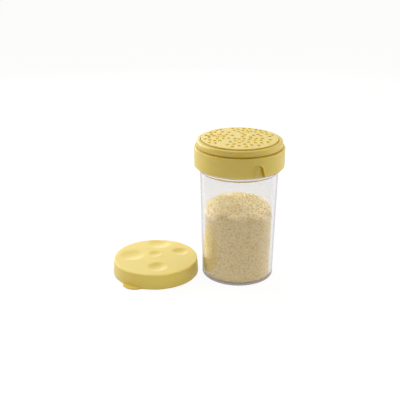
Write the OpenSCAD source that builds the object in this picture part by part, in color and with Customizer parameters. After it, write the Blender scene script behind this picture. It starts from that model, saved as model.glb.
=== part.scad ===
// Grated cheese shaker: a clear jar, a screw collar with a perforated plate,
// and a snap-on lid that lies on the table beside the jar.
// The jar's axis is the Z axis and its base rests on the plane Z = 0.

/* [Jar] */
// Outer diameter of the wall at the base
jar_base_d = 63.2; // [58:0.2:70]
// Outer diameter of the wall just below the shoulder
jar_top_d = 67.8; // [62:0.2:72]
// Height of the tapered wall, from the table to the shoulder
jar_body_h = 97.6; // [88:0.2:130]
// Wall thickness at the base
jar_base_wall = 2.4; // [1.6:0.1:4]
// Wall thickness just below the shoulder
jar_top_wall = 3.4; // [2:0.1:4.4]
// Thickness of the jar's floor
jar_floor_t = 1.6; // [1.2:0.1:6]
// Outer rounding of the base edge
base_round = 2.2; // [1:0.1:3]
// Inner rounding between floor and wall
bore_round = 2.6; // [1:0.1:4]
// Height over which the wall flares out to the shoulder bead
shoulder_h = 2.0; // [1:0.1:4]
// Height of the shoulder bead's edge
bead_t = 1.3; // [0.8:0.1:3]
// How far the shoulder bead stands out past the neck
bead_out = 1.2; // [0.6:0.1:1.5]
// Outer diameter of the neck between its threads
neck_d = 70; // [66:0.2:78]
// Wall thickness of the neck
neck_wall = 3.0; // [2.6:0.1:3.6]
// Height of the neck, from the bead to the mouth
neck_h = 19.1; // [17.5:0.1:26]
// Rounding of the mouth's outer edge
mouth_round = 0.5; // [0.2:0.1:0.8]

/* [Thread] */
// Rise of the thread in one turn
thread_pitch = 4; // [3:0.25:5]
// Number of turns of each thread
thread_turns = 1.25; // [0.75:0.25:1.5]
// Depth of each thread
thread_depth = 1.1; // [0.6:0.1:1.4]
// Slope of the thread's flanks in degrees
thread_flank = 28; // [15:1:30]
// Play between the flanks of the two threads
flank_gap = 0.4; // [0.3:0.1:0.8]
// Play between a thread's crest and the wall it faces
crest_gap = 0.4; // [0.3:0.1:0.8]
// Height of the collar's bottom edge below its thread
thread_margin = 1.0; // [0.6:0.1:1.6]

/* [Collar] */
// Wall thickness of the skirt
skirt_wall = 2.5; // [2.2:0.1:3.5]
// Gap between the skirt and the jar's shoulder bead
skirt_gap = 0.5; // [0.3:0.1:1.5]
// Rounding of the skirt's bottom edge
skirt_round = 2.0; // [0.6:0.1:2.2]
// Rounding of the skirt's top edge
ledge_round = 0.6; // [0.2:0.1:0.9]
// Thickness of the ledge between skirt and upper ring
ledge_t = 1.7; // [1.2:0.1:2.4]
// Height of the upper ring above the ledge
ring_h = 6.0; // [5:0.1:8]
// Wall thickness of the upper ring
ring_wall = 1.65; // [1.3:0.05:2.2]
// Thickness of the upper ring's top
ring_top_t = 1.7; // [1.2:0.1:2.4]
// Rounding of the upper ring's shoulder
ring_round = 3.0; // [1:0.1:3.2]
// Play between the upper ring's bore and the neck
neck_gap = 0.35; // [0.25:0.05:0.6]
// Depth of the snap groove round the foot of the upper ring
groove_depth = 0.5; // [0.3:0.05:0.7]
// Height of the snap groove
groove_h = 1.2; // [1.1:0.1:1.6]
// Height of the thumb recess with its lip, from the skirt's bottom edge
recess_h = 11.8; // [9.2:0.1:14]
// Outer radius of the lip round the recess's top
recess_top_r = 5; // [3.5:0.1:7]
// How far the recess's sides lean out towards its foot, in degrees
recess_flare = 15; // [0:1:20]
// Depth of the thumb recess
recess_depth = 1.5; // [0.8:0.1:1.6]
// Width of the lip round the recess
lip_w = 1.1; // [0.6:0.1:2]
// How far the lip stands out from the skirt
lip_rise = 0.35; // [0.1:0.05:0.5]
// Direction of the thumb recess about the axis in degrees
recess_angle = 291.4; // [180:0.2:360]

/* [Sprinkle plate] */
// How far the plate's flange stands out past the raised, perforated disc
flange_out = 1.95; // [1.75:0.05:5]
// Thickness of the plate
plate_t = 1.6; // [1:0.1:2.4]
// How far the plate stands above the upper ring
plate_rise = 1.0; // [0.4:0.1:2]
// Rounding of the plate's top edge
plate_round = 0.5; // [0.2:0.1:0.8]
// Thickness of the plate's flange and rim wall
flange_t = 1.5; // [1:0.1:2]
// Diameter of each sprinkle hole
hole_d = 3.0; // [1.5:0.1:3.4]
// Least width of plate between a hole and the rim wall
hole_web = 0.6; // [0.3:0.1:1.5]
// Play round the plate and its flange
plate_gap = 0.2; // [0.1:0.05:0.3]
// Depth of the bead that keeps the plate in the collar
keeper_depth = 0.4; // [0.3:0.05:0.5]

/* [Sealing ring] */
// Thickness of the sealing ring
seal_t = 1.2; // [0.8:0.1:2]
// Width of the sealing ring from bore to rim
seal_w = 2.4; // [1.4:0.1:2.6]

/* [Lid] */
// Height of the lid
lid_h = 13.3; // [11:0.1:20]
// Wall thickness of the lid
lid_wall = 1.2; // [1:0.1:1.6]
// Thickness of the lid's top
lid_top_t = 1.5; // [1:0.1:2.4]
// How far the lid's wall leans in from rim to top
lid_draft = 0.8; // [0:0.1:1.5]
// Rounding of the lid's top edge
lid_round = 1.6; // [0.6:0.1:2.4]
// Play between the lid and the upper ring
lid_fit = 0.2; // [0.15:0.05:0.4]
// Depth of the snap bead inside the lid's rim
snap_depth = 0.4; // [0.2:0.05:0.5]
// Distance that the lid's tab stands out
tab_out = 5; // [2:0.2:8]
// Radius of the lid's tab
tab_r = 11; // [9:0.2:16]
// Thickness of the lid's tab
tab_t = 1.5; // [1:0.1:2.4]
// Direction of the lid's tab in degrees
tab_angle = 239; // [150:1:330]
// Space between the jar's base and the lid lying beside it
lid_apart = 4; // [3:0.2:20]

/* [Grated cheese] */
// Depth of the cheese at the jar's wall
cheese_h = 59; // [20:0.5:62]
// Height of the mound above the cheese at the wall
cheese_crown = 11; // [4:0.5:18]
// Fullness of the mound: 2 is a plain dome, more is flatter on top and steeper at the wall
cheese_fullness = 3.3; // [2:0.1:5]
// Gap between the cheese and the jar's wall
cheese_gap = 0.25; // [0.15:0.05:0.6]

/* [Hidden] */
$fn = 128;

// Overrun of every cut
cut_over = 1;
// Straight steps in each small rounding
round_steps = 6;
// Straight steps along the mound of cheese, and along the recess's round top
mound_steps = 12;
arch_steps = 12;
// Steps of a thread in one turn, and in the run-out at each end
thread_steps = 48;
runout_steps = 6;
// How deep a thread's root is set into its wall
thread_sink = 0.5;

// Jar, from the axis outwards and from the table up
base_r = jar_base_d/2;
top_r = jar_top_d/2;
bore_base_r = base_r - jar_base_wall;
bore_top_r = top_r - jar_top_wall;
neck_r = neck_d/2;
neck_bore_r = neck_r - neck_wall;
bead_r = neck_r + bead_out;
bead_z = jar_body_h + shoulder_h;
neck_z = bead_z + bead_t;
mouth_z = neck_z + neck_h;

// Collar, plate and sealing ring stack up from the jar's mouth
flange_z = mouth_z + seal_t;
ring_under_z = flange_z + flange_t;
ring_top_z = ring_under_z + ring_top_t;
plate_z = ring_top_z + plate_rise;
ledge_z = ring_top_z - ring_h;
skirt_z = neck_z + skirt_gap;
skirt_bore_r = neck_r + thread_depth + crest_gap;
skirt_r = skirt_bore_r + skirt_wall;
ring_bore_r = neck_r + neck_gap;
ring_r = ring_bore_r + ring_wall;
flange_r = ring_bore_r - plate_gap;
plate_r = flange_r - flange_out;
opening_r = plate_r + plate_gap;
rim_bore_r = plate_r - flange_t;
hole_field_r = rim_bore_r - hole_d/2 - hole_web;
seal_r = flange_r - keeper_depth;
shoulder_round = min(ring_round, ring_r - opening_r, ring_h - groove_h);

// Thread sections: the two ridges lie half a pitch apart
ridge_mid_w = thread_pitch/2 - flank_gap;
ridge_slope_w = thread_depth*tan(thread_flank);
ridge_root_w = ridge_mid_w + ridge_slope_w;
ridge_crest_w = ridge_mid_w - ridge_slope_w;
collar_thread_z = skirt_z + thread_margin + ridge_root_w/2;
jar_thread_z = collar_thread_z + thread_pitch/2;

// Lid
lid_bore_r = ring_r + lid_fit;
lid_r = lid_bore_r + lid_wall;
lid_top_r = lid_r - lid_draft;
lid_bore_top_r = lid_top_r - lid_wall;
lid_x = -(base_r + lid_apart + lid_r);

// Dimples of the lid in shares of its top radius: across, away, radius, depth
dimple_shares = [
    [0.05, 0.78, 0.27, 0.065],
    [-0.57, 0.10, 0.26, 0.050],
    [-0.04, 0.16, 0.15, 0.045],
    [0.07, -0.53, 0.22, 0.062],
    [0.58, 0.31, 0.18, 0.062]
];

// Rings of sprinkle holes: each ring's radius in shares of the plate's, then each hole's direction in degrees
hole_ring_shares = [
    [0.14, [54, 207, 262, 330]],
    [0.29, [16, 61, 129, 187, 246, 282, 322, 355]],
    [0.43, [30, 79, 137, 161, 187, 235, 265, 298, 330, 352]],
    [0.58, [20, 32, 63, 89, 117, 148, 168, 187, 207, 253, 280, 310, 337, 355]],
    [0.69, [51, 61, 70, 79, 99, 128, 164, 201, 241, 266, 293, 320]],
    [0.79, [8, 23, 40, 90, 141, 156, 170, 180, 194, 216, 254, 279, 305, 330, 347]],
    [0.89, [16, 36, 49, 58, 70, 80, 100, 122, 130, 146, 166, 187, 208]]
];

// Points along a circular arc about a centre, from one angle to another
function arc(x, z, r, from, to, steps = round_steps) = [
    for (i = [0:steps])
        let (a = from + (to - from)*i/steps)
        [x + r*cos(a), z + r*sin(a)]
];

// Corners of a thread's ridge at one step: side is 1 for an outer thread and -1 for an inner one
function ridge_ring(i, steps, root_r, side, z0) =
    let (
        angle = 360*i/thread_steps,
        height = z0 + thread_pitch*i/thread_steps,
        runout = min(1, i/runout_steps, (steps - i)/runout_steps),
        root = root_r - side*thread_sink,
        crest = root_r + side*(runout*(thread_depth + thread_sink/2) - thread_sink/2)
    )
    [
        for (corner = [[root, -ridge_root_w], [crest, -ridge_crest_w], [crest, ridge_crest_w], [root, ridge_root_w]])
            [corner[0]*cos(angle), corner[0]*sin(angle), height + corner[1]/2]
    ];

// A helical ridge on a wall of radius root_r, starting at height z0
module thread_ridge(root_r, side, z0) {
    steps = round(thread_turns*thread_steps);
    points = [for (i = [0:steps]) each ridge_ring(i, steps, root_r, side, z0)];
    sides = [
        for (i = [0:steps - 1], k = [0:3])
            let (a = 4*i + k, b = 4*i + (k + 1)%4, c = b + 4, d = a + 4)
            each [[a, b, c], [a, c, d]]
    ];
    ends = [[2, 1, 0], [3, 2, 0], [4*steps, 4*steps + 1, 4*steps + 2], [4*steps, 4*steps + 2, 4*steps + 3]];
    faces = concat(sides, ends);
    polyhedron(points, side > 0 ? faces : [for (f = faces) [f[2], f[1], f[0]]], convexity = 6);
}

// Places of the sprinkle holes on the plate, with the outermost drawn in clear of the rim wall
function hole_places() = [
    for (ring = hole_ring_shares, angle = ring[1])
        let (r = min(ring[0]*plate_r, hole_field_r))
        [r*cos(angle), r*sin(angle)]
];

// Clear jar with its shoulder bead, threaded neck and open mouth
module jar() {
    color([0.93, 0.95, 0.95, 0.45]) {
        rotate_extrude() polygon(concat(
            [[0, 0]],
            arc(base_r - base_round, base_round, base_round, -90, 0),
            [[top_r, jar_body_h], [bead_r, bead_z], [bead_r, neck_z], [neck_r, neck_z]],
            arc(neck_r - mouth_round, mouth_z - mouth_round, mouth_round, 0, 90),
            [[neck_bore_r, mouth_z], [neck_bore_r, neck_z], [bore_top_r, jar_body_h]],
            arc(bore_base_r - bore_round, jar_floor_t + bore_round, bore_round, 0, -90),
            [[0, jar_floor_t]]
        ));
        thread_ridge(neck_r, 1, jar_thread_z);
    }
}

// Points down the mound of cheese, from its top on the axis to the jar's wall
function mound(edge_r, wall_z) = [
    for (i = [0:mound_steps])
        let (share = i/mound_steps)
        [edge_r*share, wall_z + cheese_crown*(1 - pow(share, cheese_fullness))]
];

// Grated cheese that fills the lower part of the jar and rises to a full mound
module grated_parmesan() {
    wall_z = jar_floor_t + cheese_h;
    fill_share = (wall_z - jar_floor_t - bore_round)/(jar_body_h - jar_floor_t - bore_round);
    edge_r = bore_base_r + (bore_top_r - bore_base_r)*fill_share - cheese_gap;
    foot_round = bore_round - cheese_gap;
    foot_r = bore_base_r - cheese_gap;
    color([0.93, 0.84, 0.60]) rotate_extrude() polygon(concat(
        [[0, jar_floor_t]],
        arc(foot_r - foot_round, jar_floor_t + foot_round, foot_round, -90, 0),
        [for (i = [mound_steps:-1:0]) mound(edge_r, wall_z)[i]]
    ));
}

// Soft ring between the jar's mouth and the plate's flange
module sealing_ring() {
    color([0.90, 0.90, 0.88]) rotate_extrude() translate([seal_r - seal_w, mouth_z])
        square([seal_w, seal_t]);
}

// Upright prism with the recess's arched outline, drawn in from the lip's outer edge, through the skirt's wall
module arch_prism(inset) {
    r = recess_top_r - inset;
    drop = recess_h - recess_top_r + cut_over;
    foot = (r + drop*sin(recess_flare))/cos(recess_flare);
    rotate([0, 0, recess_angle]) translate([skirt_bore_r - skirt_wall, 0, skirt_z]) rotate([90, 0, 90])
        linear_extrude(2*skirt_wall + cut_over) polygon(concat(
            [[foot, -cut_over]],
            arc(0, recess_h - recess_top_r, r, recess_flare, 180 - recess_flare, arch_steps),
            [[-foot, -cut_over]]
        ));
}

// Arched thumb recess, cut into the skirt's face down to a round floor
module thumb_recess() {
    difference() {
        arch_prism(lip_w);
        translate([0, 0, skirt_z - 2*cut_over]) cylinder(r = skirt_r - recess_depth, h = recess_h + 3*cut_over);
    }
}

// Lip that stands out from the skirt round the recess
module thumb_lip() {
    intersection() {
        difference() {
            arch_prism(0);
            arch_prism(lip_w);
        }
        translate([0, 0, skirt_z + skirt_round]) difference() {
            cylinder(r = skirt_r + lip_rise, h = recess_h);
            translate([0, 0, -cut_over]) cylinder(r = skirt_r - skirt_wall/2, h = recess_h + 2*cut_over);
        }
    }
}

// Screw collar: threaded skirt, ledge that the lid seats on, and upper ring round the plate
module shaker_collar() {
    groove_r = ring_r - groove_depth;
    keeper_r = flange_r - keeper_depth/2;
    color([0.93, 0.85, 0.55]) {
        difference() {
            rotate_extrude() polygon(concat(
                [[skirt_bore_r, skirt_z]],
                arc(skirt_r - skirt_round, skirt_z + skirt_round, skirt_round, -90, 0),
                arc(skirt_r - ledge_round, ledge_z - ledge_round, ledge_round, 0, 90),
                [[groove_r, ledge_z], [groove_r, ledge_z + groove_h - groove_depth], [ring_r, ledge_z + groove_h]],
                arc(ring_r - shoulder_round, ring_top_z - shoulder_round, shoulder_round, 0, 90),
                [
                    [opening_r, ring_top_z],
                    [opening_r, ring_under_z],
                    [ring_bore_r, ring_under_z],
                    [ring_bore_r, flange_z],
                    [keeper_r, flange_z - keeper_depth/2],
                    [ring_bore_r, flange_z - 2*keeper_depth],
                    [ring_bore_r, ledge_z - ledge_t],
                    [skirt_bore_r, ledge_z - ledge_t]
                ]
            ));
            thumb_recess();
        }
        thread_ridge(skirt_bore_r, -1, collar_thread_z);
        thumb_lip();
    }
}

// Perforated plate: a raised disc on a flange that the collar traps from above
module sprinkle_plate() {
    color([0.94, 0.87, 0.60]) difference() {
        rotate_extrude() polygon(concat(
            [[0, plate_z - plate_t], [rim_bore_r, plate_z - plate_t], [rim_bore_r, flange_z], [flange_r, flange_z]],
            [[flange_r, ring_under_z], [plate_r, ring_under_z]],
            arc(plate_r - plate_round, plate_z - plate_round, plate_round, 0, 90),
            [[0, plate_z]]
        ));
        for (place = hole_places())
            translate([place[0], place[1], plate_z - plate_t - cut_over])
                cylinder(d = hole_d, h = plate_t + 2*cut_over);
    }
}

// Turned cup of the lid with the snap bead inside its rim
module lid_turned() {
    inner_round = max(lid_round - lid_top_t/2, lid_round/4);
    snap_r = lid_bore_r - snap_depth;
    rotate_extrude() polygon(concat(
        [[lid_r, 0]],
        arc(lid_top_r - lid_round, lid_h - lid_round, lid_round, 0, 90),
        [[0, lid_h], [0, lid_h - lid_top_t]],
        arc(lid_bore_top_r - inner_round, lid_h - lid_top_t - inner_round, inner_round, 90, 0),
        [[lid_bore_r, 3*snap_depth], [snap_r, 2*snap_depth], [lid_bore_r, snap_depth], [lid_bore_r, 0]]
    ));
}

// Sphere that presses one dimple into the lid's top, grown by a wall
module dimple_ball(shares, wall) {
    mouth_r = shares[2]*lid_top_r;
    depth = shares[3]*lid_top_r;
    ball_r = (mouth_r*mouth_r + depth*depth)/(2*depth);
    translate([shares[0]*lid_top_r, shares[1]*lid_top_r, lid_h - depth + ball_r])
        sphere(r = ball_r + wall);
}

// Snap lid with its five dimples and its lifting tab, lying on the table beside the jar
module lid() {
    color([0.92, 0.86, 0.59]) translate([lid_x, 0, 0]) difference() {
        union() {
            lid_turned();
            for (shares = dimple_shares)
                intersection() {
                    dimple_ball(shares, lid_top_t);
                    translate([0, 0, lid_h - 3*lid_top_t]) cylinder(r = lid_bore_top_r + lid_wall/2, h = 2.5*lid_top_t);
                }
            rotate([0, 0, tab_angle]) linear_extrude(tab_t) difference() {
                translate([lid_r + tab_out - tab_r, 0]) circle(r = tab_r);
                circle(r = lid_r - lid_wall/2);
            }
        }
        for (shares = dimple_shares)
            dimple_ball(shares, 0);
    }
}

jar();
grated_parmesan();
sealing_ring();
shaker_collar();
sprinkle_plate();
lid();
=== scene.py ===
"""A grated cheese shaker: clear jar, yellow screw top with its perforated plate, and a snap lid."""

import math

import bmesh
import bpy
import numpy as np
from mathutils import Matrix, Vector, noise


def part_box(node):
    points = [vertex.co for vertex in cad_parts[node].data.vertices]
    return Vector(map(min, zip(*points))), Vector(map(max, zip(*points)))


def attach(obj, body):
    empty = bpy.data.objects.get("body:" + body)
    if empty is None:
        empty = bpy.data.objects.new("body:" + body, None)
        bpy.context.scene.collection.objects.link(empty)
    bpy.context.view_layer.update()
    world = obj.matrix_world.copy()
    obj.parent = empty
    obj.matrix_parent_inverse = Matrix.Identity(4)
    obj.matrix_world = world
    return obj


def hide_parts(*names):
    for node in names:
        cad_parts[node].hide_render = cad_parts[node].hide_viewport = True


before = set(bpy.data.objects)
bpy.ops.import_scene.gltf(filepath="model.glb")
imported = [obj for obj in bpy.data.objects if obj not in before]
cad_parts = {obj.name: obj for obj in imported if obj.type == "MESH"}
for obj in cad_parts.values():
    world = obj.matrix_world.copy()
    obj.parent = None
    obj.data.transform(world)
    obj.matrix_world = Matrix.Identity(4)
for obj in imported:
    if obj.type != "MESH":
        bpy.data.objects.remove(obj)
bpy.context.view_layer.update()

# Lengths below are in millimetres, as the object is drawn; meshes are made in metres
MM = 0.001


def box_mm(node):
    """Lowest and highest corner of a solid at rest, in millimetres."""
    low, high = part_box(node)
    return low / MM, high / MM


# Sizes read from the frame
JAR_HIGH = box_mm("jar")[1]
COLLAR_LOW, COLLAR_HIGH = box_mm("shaker_collar")
PLATE_LOW, PLATE_HIGH = box_mm("sprinkle_plate")
SEAL_LOW, SEAL_HIGH = box_mm("sealing_ring")
LID_HIGH = box_mm("lid")[1]
MOUTH_Z = JAR_HIGH.z
BEAD_R = JAR_HIGH.x
FLOOR_T = box_mm("grated_parmesan")[0].z
SKIRT_R = COLLAR_HIGH.x
SKIRT_Z = COLLAR_LOW.z
RING_TOP_Z = COLLAR_HIGH.z
PLATE_Z = PLATE_HIGH.z
FLANGE_R = PLATE_HIGH.x
FLANGE_Z = PLATE_LOW.z
LID_H = LID_HIGH.z

# A point this near to a wall lies on it, and long straight spans get a point this far from a bend
NEAR = 0.01
SUPPORT = 0.12

# A rounding takes up at most this share of the span on each side of its corner
ROUNDING_SHARE = 0.49

# Jar
BASE_R = 31.6
TOP_R = 33.9
BODY_H = 96.9
BASE_WALL = 2.4
TOP_WALL = 3.4
BORE_BASE_R = BASE_R - BASE_WALL
BORE_TOP_R = TOP_R - TOP_WALL
BASE_ROUND = 2.8
BORE_ROUND = 0.7
BORE_FINISH_Z = 3
BASE_RIM_H = 2.6
FLARE_LINE_SHARE = 0.5
BEAD_LINE_H = 1.1
BEAD_Z = 99.2
NECK_Z = 101.1
FUNNEL_LOW_Z = 101.6
FUNNEL_TOP_Z = 104.6
NECK_R = 35.0
NECK_BORE_R = 32.0

# Screw thread shared by the jar and the collar
PITCH = 4.0
TURNS = 1.25
THREAD_DEPTH = 1.1
THREAD_MARGIN = 1.0
THREAD_CLEAR = 0.5
RIDGE_ROOT_W = 2.185
RIDGE_CREST_W = 1.015
RUNOUT = 0.8
COLLAR_THREAD_Z = SKIRT_Z + THREAD_MARGIN + RIDGE_ROOT_W / 2
JAR_THREAD_Z = COLLAR_THREAD_Z + PITCH / 2

# Collar
SKIRT_WALL = 2.5
SKIRT_BORE_R = SKIRT_R - SKIRT_WALL
RING_R = 37.0
RING_BORE_R = 35.35
RING_TOP_T = 1.7
RING_H = 6.0
RING_UNDER_Z = RING_TOP_Z - RING_TOP_T
LEDGE_Z = RING_TOP_Z - RING_H
LEDGE_T = 1.7
GROOVE_DEPTH = 0.5
GROOVE_H = 1.2
KEEPER = 0.4
INWARD_SHARE = 0.3

# Thumb recess in the collar; the lip's slope is in shares of the lip's width
RECESS_H = 11.8
RECESS_TOP_R = 5.0
RECESS_FLARE = math.radians(15)
RECESS_DEPTH = 1.5
RECESS_EDGE = 0.25
RECESS_BORDER = 1.1
RECESS_RIBS = 6
RECESS_ANGLE = math.radians(291.4)
RECESS_HALF_TURN = 0.3
RECESS_STEP = 0.15
RIB_DEPTH = 0.12
LIP_W = 1.1
LIP_RISE = 0.45
LIP_SLOPE_SHARE = 0.7
LIP_OUTER_SHARE = 0.45

# Grated cheese
CHEESE_RIM_Z = 60.6
CHEESE_CROWN = 9.4
CHEESE_FULLNESS = 5.0
CHEESE_HOLLOW = 1.6
CHEESE_HOLLOW_SHARE = 0.4
CHEESE_GAP = 0.35
CHEESE_LIFT = 0.05
CHEESE_EDGE_H = 0.9
CHEESE_CORE_R = 5
GRAIN = 1.35

# Unevenness of the cheese as (cells a millimetre, height): on the heap's top, and on its side
TOP_LUMPS = ((0.1, 1.1), (0.28, 0.6), (0.9, 0.45), (2.1, 0.25))
SIDE_LUMPS = (0.8, 0.16)

# Loose crumbs: density a square metre, and the least upright part of the normal where they lie
CRUMB_R = 0.78
CRUMB_UNEVENNESS = 0.35
CRUMB_PHASE = 2.7
CRUMB_DENSITY = 520000.0
CRUMB_LOWEST_Z = FLOOR_T + 50
CRUMB_REACH = 28.6
CRUMB_SEED = 5
CRUMB_UPRIGHT = 0.35
CRUMB_TURN_LOW = (-0.5, -0.5, 0)
CRUMB_TURN_HIGH = (0.5, 0.5, 6.28)
CRUMB_SCALE_LOW = (0.7, 0.4, 0.35)
CRUMB_SCALE_HIGH = (2.4, 0.8, 0.7)

# Sprinkle plate; the walls of its holes have normals whose upright part is below the last value
PLATE_R = 33.2
PLATE_T = 1.6
PLATE_GAP = 0.06
FLANGE_T = 1.5
RIM_BORE_R = PLATE_R - FLANGE_T
HOLE_R = 1.62
HOLE_FOOT_R = 0.95
HOLE_RIM = 0.15
HOLE_WEB = 0.6
HOLE_WALL_UPRIGHT = 0.7

# Sealing ring
SEAL_W = 2.4

# Lid
LID_WALL = 1.2
LID_FIT = 0.2
LID_DRAFT = 0.8
LID_R = RING_R + LID_FIT + LID_WALL
LID_TOP_R = LID_R - LID_DRAFT
LID_BORE_R = LID_R - LID_WALL
LID_X = LID_HIGH.x - LID_R
LID_TOP_T = 1.5
LID_ROUND = 1.2
LID_FOOT_H = 0.8
LID_FOOT_ROUND = 0.7
SNAP = 0.4
TAB_R = 11.0
TAB_OUT = 5.0
TAB_T = 1.5
TAB_ANGLE = math.radians(239)
TAB_HALF_TURN = 0.6
TAB_ZONE = (TAB_ANGLE, 0.34, 0.012)

# Dimples in shares of the lid's top radius: across, away, radius, depth
DIMPLE_SHARES = (
    (0.05, 0.78, 0.27, 0.065),
    (-0.57, 0.10, 0.26, 0.050),
    (-0.04, 0.16, 0.15, 0.045),
    (0.07, -0.53, 0.22, 0.062),
    (0.58, 0.31, 0.18, 0.062),
)
DIMPLE_DEPTH_SHARE = 0.57
DIMPLE_REACH_SHARE = 1.6
DIMPLE_LIP = 0.55

# Rings of holes: each ring's radius in shares of the plate's, then each hole's direction in degrees
HOLE_RING_SHARES = (
    (0.14, (54, 207, 262, 330)),
    (0.29, (16, 61, 129, 187, 246, 282, 322, 355)),
    (0.43, (30, 79, 137, 161, 187, 235, 265, 298, 330, 352)),
    (0.58, (20, 32, 63, 89, 117, 148, 168, 187, 207, 253, 280, 310, 337, 355)),
    (0.69, (51, 61, 70, 79, 99, 128, 164, 201, 241, 266, 293, 320)),
    (0.79, (8, 23, 40, 90, 141, 156, 170, 180, 194, 216, 254, 279, 305, 330, 347)),
    (0.89, (16, 36, 49, 58, 70, 80, 100, 122, 130, 146, 166, 187, 208)),
)

# World light: each ramp's span along a direction, then its strengths at the span's two ends
TENT = ((-0.9, 0.7), (0.17, 0.9))
INSIDE = ((0.1, 1.0), (0.52, 6.3))
SHEEN = ((0.35, 0.95), (0.0, 3.6))
GLOSSY_LOSS = 0.5
FRONT_TINT = (1.0, 0.78, 0.58, 1)
BACK_TINT = (0.96, 0.99, 1.0, 1)
WHITE = (1, 1, 1, 1)

# Floor
FLOOR_HALF_W = 3000
FLOOR_GREY = (0.85, 0.85, 0.85, 1)
FLOOR_GLOW = 1.06
FLOOR_GLOW_SHARE = 0.85
FLOOR_GLOW_THROUGH = 0.2


# Outlines and turned meshes

def rounded(corners, steps=7):
    """Points of a closed outline whose corners (radius, height, rounding) become arcs."""
    points = []
    for i, (x, z, rounding) in enumerate(corners):
        corner = np.array([x, z])
        back = np.array(corners[i - 1][:2]) - corner
        ahead = np.array(corners[(i + 1) % len(corners)][:2]) - corner
        if rounding == 0:
            points.append(corner)
            continue
        to_back = back / np.linalg.norm(back)
        to_ahead = ahead / np.linalg.norm(ahead)
        half = math.acos(np.clip(to_back @ to_ahead, -1, 1)) / 2
        longest = ROUNDING_SHARE * min(np.linalg.norm(back), np.linalg.norm(ahead))
        reach = min(rounding / math.tan(half), longest)
        radius = reach * math.tan(half)
        middle = to_back + to_ahead
        centre = corner + middle / np.linalg.norm(middle) * radius / math.sin(half)
        start = corner + to_back * reach - centre
        end = corner + to_ahead * reach - centre
        sweep = math.pi - 2 * half
        for k in range(steps + 1):
            t = k / steps
            share_a = math.sin((1 - t) * sweep) / math.sin(sweep)
            share_b = math.sin(t * sweep) / math.sin(sweep)
            points.append(centre + share_a * start + share_b * end)
    return points


def densified(points, step_at, closed):
    """The outline with its straight spans divided: step_at gives the spacing wanted at a point."""
    out = []
    count = len(points) if closed else len(points) - 1
    for i in range(count):
        p, q = points[i], points[(i + 1) % len(points)]
        length = np.linalg.norm(q - p)
        out.append(p)
        if length < 1e-6:
            continue
        inner = []
        if length > 4 * SUPPORT:
            inner += [SUPPORT / length, 1 - SUPPORT / length]
        pieces = int(math.ceil(length / step_at((p + q) / 2)))
        inner += [k / pieces for k in range(1, pieces)]
        out += [p + (q - p) * t for t in sorted(inner)]
    if not closed:
        out.append(points[-1])
    return np.array(out)


def columns(count, zones=()):
    """Angles round the axis, closer together in zones of (middle, half width, step) in radians."""
    angles = [math.tau * i / count for i in range(count)]
    for middle, half, step in zones:
        angles = [a for a in angles if abs(math.remainder(a - middle, math.tau)) > half]
        steps = int(2 * half / step)
        angles += [(middle - half + 2 * half * k / steps) % math.tau for k in range(steps + 1)]
    return np.array(sorted(angles))


def add_object(name, data):
    """An object in the scene that shows a mesh, a lamp or a camera."""
    obj = bpy.data.objects.new(name, data)
    bpy.context.scene.collection.objects.link(obj)
    return obj


def new_object(name, verts_mm, faces, material, sharp=35, at=(0, 0, 0)):
    """A mesh object in metres with merged doubles, outward normals and smooth shading."""
    mesh = bpy.data.meshes.new(name)
    verts = (np.asarray(verts_mm, float) + np.array(at)) * MM
    mesh.from_pydata(verts.tolist(), [], faces)
    bm = bmesh.new()
    bm.from_mesh(mesh)
    bmesh.ops.remove_doubles(bm, verts=bm.verts, dist=1e-6)
    bmesh.ops.dissolve_degenerate(bm, edges=bm.edges, dist=1e-7)
    bmesh.ops.recalc_face_normals(bm, faces=bm.faces)
    bm.to_mesh(mesh)
    bm.free()
    mesh.shade_smooth()
    mesh.set_sharp_from_angle(angle=math.radians(sharp))
    if material:
        mesh.materials.append(material)
    return add_object(name, mesh)


def turned(name, outline, angles, material, shape=None, closed=True, at=(0, 0, 0), sharp=35):
    """A solid turned about Z from an outline; shape may move its angles, radii and heights."""
    rows, cols = len(outline), len(angles)
    radius = np.repeat(outline[:, :1], cols, 1)
    height = np.repeat(outline[:, 1:], cols, 1)
    angle = np.repeat(angles[None], rows, 0)
    if shape:
        radius, height = shape(angle, radius, height)
    verts = np.stack([radius * np.cos(angle), radius * np.sin(angle), height], -1).reshape(-1, 3)
    faces = []
    for i in range(rows if closed else rows - 1):
        j = (i + 1) % rows
        for k in range(cols):
            m = (k + 1) % cols
            faces.append((i * cols + k, i * cols + m, j * cols + m, j * cols + k))
    return new_object(name, verts, faces, material, sharp, at)


def smooth(t):
    """Eased step from 0 to 1."""
    t = np.clip(t, 0, 1)
    return t * t * (3 - 2 * t)


def turn_from(middle, angle):
    """Turn from one direction to each angle, between half a turn back and half a turn on."""
    return np.remainder(angle - middle + math.pi, math.tau) - math.pi


def thread_height(angle, height, start_z):
    """Height of the helical ridge above its wall, at each angle and height."""
    out = np.zeros_like(height)
    for turn in range(2):
        phase = angle + math.tau * turn
        off = np.abs(height - start_z - PITCH * (phase / math.tau))
        ridge = np.clip((RIDGE_ROOT_W / 2 - off) / (RIDGE_ROOT_W / 2 - RIDGE_CREST_W / 2), 0, 1)
        ends = smooth(phase / RUNOUT) * smooth((math.tau * TURNS - phase) / RUNOUT)
        out = np.maximum(out, THREAD_DEPTH * ridge * ends)
    return out


# Shader maths

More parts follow.
